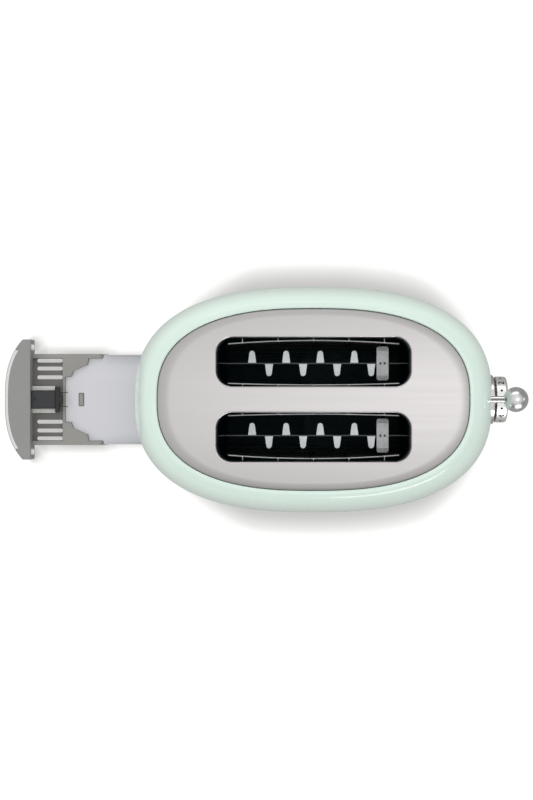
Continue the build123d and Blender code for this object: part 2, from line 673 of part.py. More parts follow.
with BuildPart() as face_hollow:           # hollow underneath the face
    extrude(oval(2.0, PLINTH_A - 5.0, PLINTH_B - 5.0, PLINTH_N), amount=20.0)
    with BuildSketch(Plane.XY):
        with Locations((FACE_BACK - 2.4 - 30, 0)):
            Rectangle(60, 2 * FACE_HALF_W - 5.6)
    extrude(amount=40, mode=Mode.INTERSECT)

with BuildPart() as tray_face_shut:
    extrude(oval(4.0, PLINTH_A, PLINTH_B, PLINTH_N), amount=FACE_TOP - 5.2)
    loft(sections=[oval(FACE_TOP - 1.2, PLINTH_A, PLINTH_B, PLINTH_N), oval(FACE_TOP, PLINTH_A - 1.2, PLINTH_B - 1.2, PLINTH_N)])
    with BuildSketch(Plane.XY):
        with Locations((FACE_BACK - 30, 0)):
            Rectangle(60, 2 * FACE_HALF_W)
    extrude(amount=40, mode=Mode.INTERSECT)
    corners = [e for e in tray_face_shut.edges() if e.bounding_box().size.Z > 15 and e.center().X < FACE_BACK - 1
               and abs(abs(e.center().Y) - FACE_HALF_W) < 0.1]
    fillet(corners, radius=1.5)
    add(strip_room.part, mode=Mode.SUBTRACT)
    add(face_hollow.part, mode=Mode.SUBTRACT)

with BuildPart() as tray_face:
    add(Pos(OUT, 0, 0) * tray_face_shut.part)
save(tray_face, "tray_face")

with BuildPart() as strip_shut:
    extrude(oval(4.6, PLINTH_A, PLINTH_B, PLINTH_N), amount=FACE_TOP - 5.0)
    fillet(strip_shut.faces().sort_by(Axis.Z)[-1].edges(), radius=0.7)
    extrude(oval(4.0, PLINTH_A - 2.8, PLINTH_B - 2.8, PLINTH_N), amount=40, mode=Mode.SUBTRACT)
    with BuildSketch(Plane.XY):
        with Locations((-140, 0)):
            Rectangle(60, 85.6)
    extrude(amount=40, mode=Mode.INTERSECT)

with BuildPart() as tray_face_strip:
    add(Pos(OUT, 0, 0) * strip_shut.part)
save(tray_face_strip, "tray_face_strip")

FB = FACE_BACK + OUT            # back of the face
with BuildPart() as tray_frame:
    # shelf under the pan, and the slotted panel behind the face
    with BuildSketch(Plane.XY.offset(8.6)):
        with BuildLine():
            Polyline((FB + 0.05, -39.8), (-180, -39.8), (-180, 39.8), (FB + 0.05, 39.8), close=True)
        make_face()
    extrude(amount=2.4)
    # raised rim: side arms, cross member and corner webs round the pan's front outline
    for sgn in (1, -1):
        with BuildSketch(Plane.XY.offset(10.0)):
            with BuildLine():
                Polyline(*[(x, sgn * y) for x, y in (
                    (FB + 0.05, 36.2), (-219.2, 36.2), (-219.2, 19.3), (-211.9, 20.3), (-210.1, 25.0), (-197.7, 30.7),
                    (-196.8, 35.2), (-196.8, 36.2), (-184.5, 36.2), (-187.0, 39.8), (FB + 0.05, 39.8))], close=True)
            make_face()
        extrude(amount=4.6)
    with BuildSketch(Plane.XY.offset(10.0)):
        with Locations((-218.2, 0)):
            Rectangle(2.0, 39)
    extrude(amount=3.2)
    # windows in the slotted panel
    with BuildSketch(Plane.XY.offset(5)):
        with Locations(*[(-231.0, sy * yy) for sy in (1, -1) for yy in (34.1, 27.2, 19.5)]):
            SlotOverall(22.8, 3.4)
    extrude(amount=6.5, mode=Mode.SUBTRACT)
    # walls of the latch bay
    with BuildSketch(Plane.XY.offset(10)):
        with Locations(((FB + 0.05 - 225.8) / 2, 9.85), ((FB + 0.05 - 225.8) / 2, -9.85)):
            Rectangle(-225.8 - FB - 0.05, 3.7)
    extrude(amount=4.6)
    # clip tab that stands in the pan's window
    with BuildSketch(Plane.XY.offset(10)):
        with Locations((-203.2, 0)):
            Rectangle(3.0, 10.2)
    extrude(amount=2.4)
save(tray_frame, "tray_frame")

PAN_END = -10.0
TONGUE = ((-217.0, 19.1), (-211.75, 20.1), (-209.95, 24.9), (-197.5, 30.6), (-196.6, 35.2), (-196.6, 35.95), (-184.4, 35.95), (-182.8, 39.2))
with BuildPart() as tray_pan:
    with BuildSketch(Plane.XY.offset(11.05)):
        with BuildLine():
            Polyline(*TONGUE, (PAN_END, 39.2), (PAN_END, -39.2), *[(x, -y) for x, y in reversed(TONGUE)], close=True)
        make_face()
        with Locations((-203.25, 0)):
            Rectangle(4.9, 11.6, mode=Mode.SUBTRACT)
    extrude(amount=0.6)
    # turned-up sides and rear edge, notched in the middle to pass the striker
    with BuildSketch(Plane.XY.offset(11.05)):
        with Locations(((-182.0 + PAN_END) / 2, 38.9), ((-182.0 + PAN_END) / 2, -38.9)):
            Rectangle(PAN_END + 182.0, 0.6)
        with Locations((PAN_END - 0.3, 23.5), (PAN_END - 0.3, -23.5)):
            Rectangle(0.6, 31.2)
    extrude(amount=5.6)
    # low upturned lips along the front tongue
    for sgn in (1, -1):
        for (px, py), (qx, qy) in ((TONGUE[0], TONGUE[1]), (TONGUE[2], TONGUE[3]), (TONGUE[5], TONGUE[6])):
            d = Vector(qx - px, qy - py, 0).normalized()
            nx, ny = d.Y * 0.6, -d.X * 0.6
            with BuildSketch(Plane.XY.offset(11.05)):
                with BuildLine():
                    Polyline((px, sgn * py), (qx, sgn * qy), (qx + nx, sgn * (qy + ny)), (px + nx, sgn * (py + ny)), close=True)
                make_face()
            extrude(amount=2.4)
save(tray_pan, "tray_pan")

with BuildPart() as latch_housing:
    with BuildSketch(Plane.XY.offset(11.1)):
        with Locations(((FB + 0.1 - 228.4) / 2, 0)):
            Rectangle(-228.4 - FB - 0.1, 15.4)
    extrude(amount=9.2)
    with BuildSketch(Plane.XY.offset(19.1)):                   # hood over the plunger's neck
        with Locations((-227.2, 0)):
            Rectangle(4.4, 15.4)
    extrude(amount=1.2)
    fillet(latch_housing.faces().sort_by(Axis.Z)[-1].edges(), radius=0.6)
    with BuildSketch(Plane.YZ.offset(-228)):
        with Locations((0, 15)):
            Rectangle(13.4, 5.4)
    extrude(amount=-9.5, mode=Mode.SUBTRACT)
    with BuildSketch(Plane.XY.offset(19.8)):
        with Locations((-242.6, 0.6)):
            Circle(1.3)
            Circle(0.8, mode=Mode.SUBTRACT)
    extrude(amount=2, mode=Mode.SUBTRACT)
save(latch_housing, "latch_housing")

with BuildPart() as latch_plunger:
    with BuildSketch(Plane.YZ.offset(-233.0)):
        with Locations((0, 15)):
            Rectangle(12.8, 4.8)
    extrude(amount=8.2)
    with BuildSketch(Plane.XY.offset(15.0)):
        with Locations((-223.4, 0)):
            Rectangle(3.6, 22.2)
    extrude(amount=3.8)
    with BuildSketch(Plane.XY.offset(15.2)):
        with Locations((-220.7, 0)):
            Rectangle(2.4, 7.8)
    extrude(amount=3.2)
    for wy in (5.9, -5.9):                                     # sprung claws
        with BuildSketch(Plane.XY.offset(15.4)):
            with BuildLine():
                Polyline((-222.4, wy - 0.35), (-216.8, wy - 0.35), (-216.0, wy * 1.06 - 0.35), (-214.4, wy * 1.06 - 0.35),
                         (-214.4, wy * 1.06 + 0.35), (-216.0, wy * 1.06 + 0.35), (-216.8, wy + 0.35), (-222.4, wy + 0.35), close=True)
            make_face()
        extrude(amount=2.2)
save(latch_plunger, "latch_plunger")

with BuildPart() as tray_bumpers:
    for by in (45.3, -45.3):
        with BuildSketch(Plane.YZ.offset(FB + 0.03)):
            with Locations((by, 19.5)):
                Circle(2.6)
        extrude(amount=2.6)
    fillet(tray_bumpers.faces().filter_by(lambda f: f.center().X > FB + 2.5).edges(), radius=1.2)
save(tray_bumpers, "tray_bumpers")

print("x shift", X_SHIFT)
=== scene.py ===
"""Looks, light and camera for the two-slot pop-up toaster. Metres, in the part's own frame."""

import math

import bpy
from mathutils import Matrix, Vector


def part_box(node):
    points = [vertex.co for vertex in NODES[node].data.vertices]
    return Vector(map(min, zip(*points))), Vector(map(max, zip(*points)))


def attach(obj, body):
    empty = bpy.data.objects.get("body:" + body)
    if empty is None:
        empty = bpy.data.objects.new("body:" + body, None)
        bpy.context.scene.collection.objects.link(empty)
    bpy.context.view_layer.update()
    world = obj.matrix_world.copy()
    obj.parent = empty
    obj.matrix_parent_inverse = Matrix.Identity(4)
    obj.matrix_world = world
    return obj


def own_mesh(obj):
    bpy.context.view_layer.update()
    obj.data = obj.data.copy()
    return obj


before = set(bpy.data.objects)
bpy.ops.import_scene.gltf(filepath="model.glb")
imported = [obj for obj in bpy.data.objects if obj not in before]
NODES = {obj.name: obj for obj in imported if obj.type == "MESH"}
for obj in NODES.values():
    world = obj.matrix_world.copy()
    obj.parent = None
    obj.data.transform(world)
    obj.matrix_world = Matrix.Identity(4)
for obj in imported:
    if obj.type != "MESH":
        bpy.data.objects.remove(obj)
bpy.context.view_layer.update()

shell_low, shell_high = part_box("body_shell")
knob_low, knob_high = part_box("browning_knob")
BODY_X = 0.5 * (shell_low[0] + shell_high[0])            # middle of the body along X
KNOB_Z = 0.054
KNOB_R = 0.5 * (knob_high[1] - knob_low[1])
PLATE_A, PLATE_B, SLOT_Y = 0.1177, 0.0685, 0.0284
ball_low, ball_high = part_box("lever_ball")
LEVER_Z = 0.5 * (ball_low[2] + ball_high[2])


# ------------------------------------------------------------------ node helpers
def lin(r, g, b):
    """Linear colour from 0..255 display values."""
    out = []
    for v in (r, g, b):
        v = v / 255.0
        out.append(v / 12.92 if v <= 0.04045 else ((v + 0.055) / 1.055) ** 2.4)
    return tuple(out) + (1.0,)


def shade(c, k):
    return (min(c[0] * k, 1.0), min(c[1] * k, 1.0), min(c[2] * k, 1.0), 1.0)


def start(name):
    m = bpy.data.materials.new(name)
    m.use_nodes = True
    nt = m.node_tree
    nt.nodes.clear()
    out = nt.nodes.new("ShaderNodeOutputMaterial")
    b = nt.nodes.new("ShaderNodeBsdfPrincipled")
    nt.links.new(b.outputs["BSDF"], out.inputs["Surface"])
    return m, nt, b


def coords(nt, stretch=(1, 1, 1), turn=(0, 0, 0), shift=(0, 0, 0)):
    tc = nt.nodes.new("ShaderNodeTexCoord")
    mp = nt.nodes.new("ShaderNodeMapping")
    mp.inputs["Scale"].default_value = stretch
    mp.inputs["Rotation"].default_value = turn
    mp.inputs["Location"].default_value = shift
    nt.links.new(tc.outputs["Object"], mp.inputs["Vector"])
    return mp.outputs["Vector"]


def split(nt, vec=None):
    """X, Y and Z of the surface point."""
    if vec is None:
        vec = nt.nodes.new("ShaderNodeTexCoord").outputs["Object"]
    sp = nt.nodes.new("ShaderNodeSeparateXYZ")
    nt.links.new(vec, sp.inputs["Vector"])
    return sp.outputs["X"], sp.outputs["Y"], sp.outputs["Z"]


def calc(nt, op, a, b=None, c=None):
    n = nt.nodes.new("ShaderNodeMath")
    n.operation = op
    for i, v in enumerate((a, b, c)):
        if v is None:
            continue
        if hasattr(v, "links"):
            nt.links.new(v, n.inputs[i])
        else:
            n.inputs[i].default_value = v
    return n.outputs["Value"]


def noise(nt, scale, detail=3.0, rough=0.55, stretch=(1, 1, 1), turn=(0, 0, 0), vec=None):
    n = nt.nodes.new("ShaderNodeTexNoise")
    n.inputs["Scale"].default_value = scale
    n.inputs["Detail"].default_value = detail
    n.inputs["Roughness"].default_value = rough
    nt.links.new(vec if vec is not None else coords(nt, stretch, turn), n.inputs["Vector"])
    return n.outputs["Fac"]


def span(nt, fac, lo, hi, from_lo=0.3, from_hi=0.7, smooth=False):
    r = nt.nodes.new("ShaderNodeMapRange")
    if smooth:
        r.interpolation_type = "SMOOTHSTEP"
    r.inputs["From Min"].default_value = from_lo
    r.inputs["From Max"].default_value = from_hi
    r.inputs["To Min"].default_value = lo
    r.inputs["To Max"].default_value = hi
    nt.links.new(fac, r.inputs["Value"])
    return r.outputs["Result"]


def blend(nt, fac, a, b):
    x = nt.nodes.new("ShaderNodeMix")
    x.data_type = "RGBA"
    for key, v in (("A", a), ("B", b)):
        sock = [s for s in x.inputs if s.name == key and s.type == "RGBA"][0]
        if hasattr(v, "links"):
            nt.links.new(v, sock)
        else:
            sock.default_value = v
    f = [s for s in x.inputs if s.name == "Factor" and s.type == "VALUE"][0]
    nt.links.new(fac, f)
    return [s for s in x.outputs if s.type == "RGBA"][0]


def bump(nt, height, strength, distance, normal=None):
    b = nt.nodes.new("ShaderNodeBump")
    b.inputs["Strength"].default_value = strength
    b.inputs["Distance"].default_value = distance
    nt.links.new(height, b.inputs["Height"])
    if normal is not None:
        nt.links.new(normal, b.inputs["Normal"])
    return b.outputs["Normal"]


def soft_edges(nt, radius):
    v = nt.nodes.new("ShaderNodeBevel")
    v.samples = 6
    v.inputs["Radius"].default_value = radius
    return v.outputs["Normal"]


# ------------------------------------------------------------------ material builders
def plain(name, color, metallic=0.0, rough=0.4, rough_var=0.06, tone=0.05, tone_scale=60.0, grain=0.0, grain_scale=1800.0,
          grain_depth=0.00004, coat=0.0, edge=0.0003, spec=0.5, stretch=(1, 1, 1), over=None, tint=(1, 1, 1)):
    """Painted, moulded or bare material with tone drift, roughness drift, fine grain and softened edges.
    over(nt, base) may lay another tone on part of the surface."""
    m, nt, b = start(name)
    drift = noise(nt, tone_scale, 4.0, 0.6, stretch)
    base = blend(nt, span(nt, drift, 0, 1), shade(color, 1 - tone), shade(color, 1 + tone))
    if over is not None:
        base = over(nt, base)
    nt.links.new(base, b.inputs["Base Color"])
    b.inputs["Metallic"].default_value = metallic
    b.inputs["Specular IOR Level"].default_value = spec
    b.inputs["Specular Tint"].default_value = (*tint, 1)
    smear = noise(nt, tone_scale * 2.7, 5.0, 0.65, stretch)
    nt.links.new(span(nt, smear, max(rough - rough_var, 0.02), rough + rough_var), b.inputs["Roughness"])
    b.inputs["Coat Weight"].default_value = coat
    b.inputs["Coat Roughness"].default_value = 0.04
    n = soft_edges(nt, edge) if edge > 0 else None
    if grain > 0:
        g = noise(nt, grain_scale, 2.0, 0.5, stretch)
        n = bump(nt, g, grain, grain_depth, n)
    if n is not None:
        nt.links.new(n, b.inputs["Normal"])
    return m


def brushed(name, color, rough, depth=0.08, tone=0.04, edge=0.0, streak=2200.0, over=None, relief=None):
    """Metal with fine brush lines along X."""
    m, nt, b = start(name)
    along = (0.012, 1, 1)
    fine = noise(nt, streak, 3.0, 0.6, along)
    wide = noise(nt, streak * 0.13, 3.0, 0.6, along)
    cloud = noise(nt, 14.0, 3.0, 0.5)
    base = blend(nt, span(nt, fine, 0, 1), shade(color, 1 - tone), shade(color, 1 + tone))
    base = blend(nt, span(nt, cloud, 0.0, 0.35), base, shade(color, 1 - tone))
    if over is not None:
        base = over(nt, base)
    nt.links.new(base, b.inputs["Base Color"])
    b.inputs["Metallic"].default_value = 1.0
    nt.links.new(span(nt, wide, rough - 0.015, rough + 0.02), b.inputs["Roughness"])
    n = soft_edges(nt, edge) if edge > 0 else None
    if relief is not None:
        n = bump(nt, relief(nt), 1.0, 1.0, n)
    nt.links.new(bump(nt, fine, depth, 0.00005, n), b.inputs["Normal"])
    return m


def spun(name, color, rough):
    """Turned metal with fine rings about the knob's axis."""
    m, nt, b = start(name)
    x, y, z = split(nt)
    r = calc(nt, "SQRT", calc(nt, "ADD", calc(nt, "POWER", y, 2.0), calc(nt, "POWER", calc(nt, "SUBTRACT", z, KNOB_Z), 2.0)))
    n = nt.nodes.new("ShaderNodeTexNoise")
    n.noise_dimensions = "1D"
    n.inputs["Scale"].default_value = 5200.0
    n.inputs["Detail"].default_value = 2.0
    nt.links.new(r, n.inputs["W"])
    rings = n.outputs["Fac"]
    nt.links.new(blend(nt, span(nt, rings, 0, 1), shade(color, 0.94), shade(color, 1.05)), b.inputs["Base Color"])
    b.inputs["Metallic"].default_value = 1.0
    nt.links.new(span(nt, noise(nt, 120.0, 4.0), rough - 0.03, rough + 0.05), b.inputs["Roughness"])
    nt.links.new(bump(nt, rings, 0.10, 0.00003, soft_edges(nt, 0.0003)), b.inputs["Normal"])
    return m


# ------------------------------------------------------------------ tones laid on parts of a surface, some of them painted shade, highlight and reflection
def plate_relief(nt):
    """The pressed plate is slightly crowned across its width and rolls off towards its edge; height in metres."""
    x, y, z = split(nt)
    u = calc(nt, "POWER", calc(nt, "ABSOLUTE", calc(nt, "DIVIDE", calc(nt, "SUBTRACT", x, BODY_X), PLATE_A)), 2.55)
    v = calc(nt, "POWER", calc(nt, "ABSOLUTE", calc(nt, "DIVIDE", y, PLATE_B)), 2.55)
    roll = span(nt, calc(nt, "ADD", u, v), 0.0, 1.0, 0.80, 1.0)
    crown = calc(nt, "POWER", calc(nt, "DIVIDE", y, PLATE_B), 2.0)
    return calc(nt, "MULTIPLY_ADD", crown, -0.0030, calc(nt, "MULTIPLY", calc(nt, "POWER", roll, 2.0), -0.0011))


def rack_tone(nt, base):
    """The band within about half a millimetre of the slot's line, along the spine, is darker than the teeth."""
    x, y, z = split(nt)
    off = calc(nt, "ABSOLUTE", calc(nt, "SUBTRACT", calc(nt, "ABSOLUTE", y), SLOT_Y))
    return blend(nt, span(nt, off, 1.0, 0.0, 0.0004, 0.0006), base, lin(88, 92, 94))


def baked_tone(nt, base):
    """The sheet's inner end, under the slots, turns near-black teal: partly heat staining, partly painted shade for
    the dark below the slots.
    """
    x, y, z = split(nt)
    mott = noise(nt, 75.0, 5.0, 0.65)
    at = calc(nt, "MULTIPLY_ADD", mott, 0.012, x)
    stain_shade_colour = blend(nt, span(nt, mott, 0, 1), lin(28, 37, 39), lin(38, 46, 47))
    return blend(nt, span(nt, at, 0.0, 1.0, BODY_X - 0.130, BODY_X - 0.098), base, stain_shade_colour)


def frame_tone(nt, base):
    """Painted shade darkens the sunk panel; a painted highlight makes the tops of the latch bay's walls paler."""
    x, y, z = split(nt)
    panel = calc(nt, "MULTIPLY", span(nt, z, 1.0, 0.0, 0.0108, 0.0118), calc(nt, "LESS_THAN", x, BODY_X - 0.2165))
    base = blend(nt, panel, base, lin(88, 86, 83))
    ay = calc(nt, "ABSOLUTE", y)
    wall = calc(nt, "MULTIPLY", calc(nt, "GREATER_THAN", ay, 0.0079), calc(nt, "LESS_THAN", ay, 0.0118))
    wall = calc(nt, "MULTIPLY", wall, calc(nt, "LESS_THAN", x, BODY_X - 0.2255))
    wall = calc(nt, "MULTIPLY", wall, calc(nt, "GREATER_THAN", z, 0.0115))
    return blend(nt, wall, base, lin(206, 204, 200))


def wire_tone(nt, base):
    """The wires are darker below the mouth of the slot: partly heat discolouration, partly painted shade of the slot's
    depth.
    """
    x, y, z = split(nt)
    return blend(nt, span(nt, z, 1.0, 0.0, 0.150, 0.178), base, lin(22, 24, 24))


def groove_tone(nt, base):
    """A dark line painted along the top of the lever rod, which has no groove: a painted reflection."""
    x, y, z = split(nt)
    line_mask = span(nt, calc(nt, "ABSOLUTE", y), 1.0, 0.0, 0.00072, 0.00078)
    line_mask = calc(nt, "MULTIPLY", line_mask, calc(nt, "GREATER_THAN", z, LEVER_Z + 0.0015))
    return blend(nt, line_mask, base, lin(96, 96, 97))


# ------------------------------------------------------------------ materials
mint = plain("mint enamel", lin(207, 224, 214), rough=0.2, rough_var=0.03, tone=0.012, tone_scale=18.0, grain=0.04,
             grain_scale=420.0, grain_depth=0.00006, coat=0.2, edge=0.0, spec=0.3)
steel_top = brushed("brushed top steel", lin(178, 175, 175), 0.31, 0.02, 0.012, relief=plate_relief)
chrome = plain("polished steel", lin(220, 219, 218), 1.0, 0.08, 0.025, 0.02, 90.0, edge=0.0002)
ball_chrome = plain("polished ball", lin(214, 213, 213), 1.0, 0.26, 0.02, 0.02, 90.0, edge=0.0)
strip_satin = plain("satin strip", lin(206, 205, 204), 1.0, 0.26, 0.04, 0.03, 120.0, edge=0.0003)
# The lever rod carries a painted dark reflection line along its top.
rod_chrome = plain("polished rod", lin(222, 221, 220), 1.0, 0.12, 0.03, 0.03, 200.0, edge=0.0, over=groove_tone)
knob_steel = spun("turned knob steel", lin(232, 231, 230), 0.36)
rack_steel = plain("rack steel", lin(244, 250, 252), 0.26, 0.40, 0.06, 0.04, 180.0, edge=0.0002, grain=0.05, over=rack_tone)
spreader_steel = plain("spreader steel", lin(222, 224, 226), 0.13, 0.36, 0.10, 0.10, 420.0, edge=0.0002, grain=0.12, grain_scale=1200.0)
# The guard wires darken lower in the slot, partly as painted shade.
wire_steel = plain("guard wire", lin(176, 178, 178), 0.5, 0.34, 0.08, 0.08, 240.0, edge=0.0, over=wire_tone)
spring_steel = plain("bright wire", lin(190, 190, 188), 1.0, 0.28, 0.06, 0.06, 240.0, edge=0.0)
# The sheet's inner end carries heat staining and painted slot shade.
pan_steel = plain("tray sheet", lin(203, 201, 206), 0.0, 0.5, 0.05, 0.02, 40.0, edge=0.0002, grain=0.05, grain_scale=900.0,
                  stretch=(0.02, 1, 1), spec=0.12, over=baked_tone, tint=(0.45, 0.92, 1.0))
zinc = plain("zinc sheet", lin(140, 142, 146), 1.0, 0.46, 0.10, 0.10, 70.0, edge=0.0003, grain=0.06, grain_scale=500.0)
# The slot collars are black enamel; on the end plates, reflectors and chassis floor the teal black is painted shade
# for the dark of the slots.
black_and_slot_shade = plain("black enamel and slot shade", lin(19, 34, 37), 0.0, 0.7, 0.08, 0.15, 90.0, edge=0.0003, grain=0.08, spec=0.16, tint=(0.45, 0.92, 1.0))
# Mica boards and heating ribbons are coloured teal black as painted shade for the dark of the slots.
mica_slot_shade = plain("mica board", lin(15, 28, 31), 0.0, 0.6, 0.12, 0.20, 110.0, edge=0.0, grain=0.06, grain_scale=700.0, stretch=(1, 1, 2.5), spec=0.12, tint=(0.45, 0.92, 1.0))
ribbon = plain("heating ribbon", lin(20, 33, 36), 0.0, 0.6, 0.08, 0.12, 160.0, edge=0.0, spec=0.14, tint=(0.45, 0.92, 1.0))
grey_plastic = plain("tray plastic", lin(136, 135, 134), 0.0, 0.44, 0.05, 0.03, 60.0, edge=0.0004, grain=0.10, grain_scale=2600.0)
# The frame plastic carries painted shade in its sunk panel and a painted highlight on the latch bay's walls.
frame_plastic = plain("tray frame plastic", lin(139, 137, 133), 0.0, 0.5, 0.05, 0.03, 60.0, edge=0.0003, grain=0.10, grain_scale=2600.0, over=frame_tone)
base_plastic = plain("base plastic", lin(34, 39, 40), 0.0, 0.55, 0.06, 0.06, 60.0, edge=0.0004, grain=0.14, grain_scale=2200.0, spec=0.28, tint=(0.6, 0.95, 1.0))
latch_grey = plain("latch plastic", lin(29, 31, 33), 0.0, 0.40, 0.05, 0.06, 90.0, edge=0.0003, grain=0.08, grain_scale=2600.0)
latch_black = plain("plunger plastic", lin(7, 7, 8), 0.0, 0.42, 0.05, 0.06, 90.0, edge=0.0003, grain=0.08, grain_scale=2600.0)
inner_black = plain("moulded black", lin(26, 26, 27), 0.0, 0.45, 0.06, 0.06, 90.0, edge=0.0003, grain=0.08)
rubber = plain("rubber", lin(40, 40, 40), 0.0, 0.72, 0.08, 0.10, 130.0, edge=0.0004, grain=0.16, grain_scale=1400.0)
pale_rubber = plain("pale bumper rubber", lin(214, 213, 210), 0.0, 0.55, 0.06, 0.05, 130.0, edge=0.0004, grain=0.10, grain_scale=1400.0)
copper = plain("enamelled winding", lin(150, 86, 44), 0.9, 0.34, 0.05, 0.08, 130.0, edge=0.0, grain=0.3, grain_scale=1500.0, stretch=(0.02, 0.02, 1))
board = plain("circuit board", lin(34, 92, 56), 0.0, 0.4, 0.05, 0.08, 160.0, edge=0.0002)
ink = plain("dial ink", lin(18, 18, 19), 0.0, 0.6, 0.05, 0.05, 300.0, edge=0.0, spec=0.2)

SIDES = ("outer_rear", "inner_rear", "inner_front", "outer_front")
USES = {
    mint: ["body_shell"],
    steel_top: ["top_plate"],
    chrome: ["plinth_band", "cancel_button", "defrost_button", "reheat_button", "bagel_button"],
    ball_chrome: ["lever_ball"],
    strip_satin: ["tray_face_strip", "knob_bezel"],
    rod_chrome: ["lever_arm"],
    knob_steel: ["browning_knob"],
    rack_steel: ["bread_rack_front", "bread_rack_rear"],
    spreader_steel: ["guard_spreader_front", "guard_spreader_rear"],
    wire_steel: ["bread_guard_" + k for k in SIDES],
    spring_steel: ["return_spring", "guide_rod", "knob_shaft", "base_screws", "chassis_rivets", "keeper_plate"],
    pan_steel: ["tray_pan"],
    zinc: ["rod_bracket", "latch_striker", "magnet_core"],
    black_and_slot_shade: ["slot_collar_front", "slot_collar_rear", "end_plate_lever", "end_plate_tray", "reflector_front", "reflector_rear", "chassis_floor"],
    mica_slot_shade: ["mica_board_" + k for k in SIDES],
    ribbon: ["heater_ribbon_" + k for k in SIDES],
    grey_plastic: ["tray_face"],
    frame_plastic: ["tray_frame"],
    base_plastic: ["base_moulding"],
    latch_grey: ["latch_housing"],
    latch_black: ["latch_plunger"],
    inner_black: ["potentiometer", "button_switches", "power_contacts", "carriage_slider"],
    rubber: ["rubber_feet", "cord_gland"],
    pale_rubber: ["tray_bumpers"],
    copper: ["magnet_coil"],
    board: ["control_board"],
}
for material, names in USES.items():
    for name in names:
        o = NODES[name]
        o.data.materials.clear()
        o.data.materials.append(material)

# ------------------------------------------------------------------ dial numbers round the knob's rim
KNOB_MID = knob_low[0] + 0.0041
STEP = math.radians(45.6)


def glyph(body, size):
    """Outline of one character as a thin mesh, centred."""
    curve = bpy.data.curves.new("glyph", "FONT")
    curve.body = body
    curve.size = size
    curve.align_x = "CENTER"
    curve.align_y = "CENTER"
    curve.extrude = 0.00003
    curve.offset = 0.00012
    curve.resolution_u = 6
    tmp = bpy.data.objects.new("glyph", curve)
    bpy.context.scene.collection.objects.link(tmp)
    bpy.context.view_layer.update()
    mesh = bpy.data.meshes.new_from_object(tmp.evaluated_get(bpy.context.evaluated_depsgraph_get()))
    bpy.data.objects.remove(tmp)
    return mesh


verts, faces = [], []


def wrap(points, polys, phi):
    """Lay flat points (right, up, proud) on the rim at angle phi from the top, towards +Y."""
    base = len(verts)
    for u, v, h in points:
        a = phi + u / KNOB_R
        r = KNOB_R + 0.00003 + h
        verts.append((KNOB_MID - v, r * math.sin(a), KNOB_Z + r * math.cos(a)))
    faces.extend([tuple(base + i for i in p) for p in polys])


for k in range(1, 7):
    mesh = glyph(str(k), 0.0068)
    ys = [v.co.y for v in mesh.vertices]
    mid = (min(ys) + max(ys)) / 2
    wrap([(v.co.x, v.co.y - mid, v.co.z) for v in mesh.vertices], [tuple(p.vertices) for p in mesh.polygons], (3 - k) * STEP)
    bpy.data.meshes.remove(mesh)
for k in range(1, 6):
    ring, count = [], 20
    for h in (-0.00003, 0.00003):
        ring += [(0.0010 * math.cos(2 * math.pi * i / count), 0.0010 * math.sin(2 * math.pi * i / count), h) for i in range(count)]
    polys = [tuple(range(count - 1, -1, -1)), tuple(range(count, 2 * count))]
    polys += [(i, (i + 1) % count, count + (i + 1) % count, count + i) for i in range(count)]
    wrap(ring, polys, (2.5 - k) * STEP)
numbers = bpy.data.meshes.new("dial_numbers")
numbers.from_pydata(verts, [], faces)
numbers.update()
dial = bpy.data.objects.new("dial_numbers", numbers)
bpy.context.scene.collection.objects.link(dial)
dial.data.materials.append(ink)
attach(dial, "knob")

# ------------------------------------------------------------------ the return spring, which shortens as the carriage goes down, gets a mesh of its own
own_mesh(NODES["return_spring"])

# ------------------------------------------------------------------ stage: floor, light, camera
floor_mesh = bpy.data.meshes.new("floor")
floor_mesh.from_pydata([(-4, -4, 0), (4, -4, 0), (4, 4, 0), (-4, 4, 0)], [], [(0, 1, 2, 3)])
floor = bpy.data.objects.new("floor", floor_mesh)
bpy.context.scene.collection.objects.link(floor)
floor.location = (0, 0, -0.0002)
# The floor is not lit: its emission is a painted contact shadow, darkened by ambient occlusion round the toaster, with
# a reach that shrinks towards the ends and beside the tray's face; deeply occluded floor lightens a little again.
fm, fnt, fb = start("studio floor")
contact_shadow_ao = fnt.nodes.new("ShaderNodeAmbientOcclusion")
contact_shadow_ao.samples = 24
fx, fy, fz = split(fnt)
beyond = calc(fnt, "ABSOLUTE", calc(fnt, "SUBTRACT", fx, BODY_X))
reach = calc(fnt, "MULTIPLY", calc(fnt, "MINIMUM", span(fnt, beyond, 0.042, 0.013, 0.09, 0.185, smooth=True), span(fnt, calc(fnt, "SUBTRACT", BODY_X, fx), 0.042, 0.013, 0.045, 0.15, smooth=True)), span(fnt, beyond, 1.0, 0.3, 0.236, 0.254))
fnt.links.new(reach, contact_shadow_ao.inputs["Distance"])
contact_shadow_ramp = fnt.nodes.new("ShaderNodeValToRGB")
stops = [(0.0, 0.60), (0.62, 0.57), (0.72, 0.565), (0.80, 0.68), (0.923, 0.87), (0.96, 0.97), (0.99, 1.06)]
while len(contact_shadow_ramp.color_ramp.elements) < len(stops):
    contact_shadow_ramp.color_ramp.elements.new(0.5)
for el, (at, v) in zip(contact_shadow_ramp.color_ramp.elements, stops):
    el.position = at
    el.color = (v, v * 0.995, v * 0.985, 1)
fnt.links.new(contact_shadow_ao.outputs["AO"], contact_shadow_ramp.inputs["Fac"])
fnt.links.new(contact_shadow_ramp.outputs["Color"], fb.inputs["Emission Color"])
flp = fnt.nodes.new("ShaderNodeLightPath")
glossy = calc(fnt, "MULTIPLY_ADD", flp.outputs["Is Glossy Ray"], -0.62, 1.0)
fnt.links.new(calc(fnt, "MULTIPLY_ADD", flp.outputs["Is Diffuse Ray"], -0.02, glossy), fb.inputs["Emission Strength"])
fb.inputs["Base Color"].default_value = (0.0, 0.0, 0.0, 1)
fb.inputs["Roughness"].default_value = 0.9
fb.inputs["Specular IOR Level"].default_value = 0.0
floor.data.materials.append(fm)

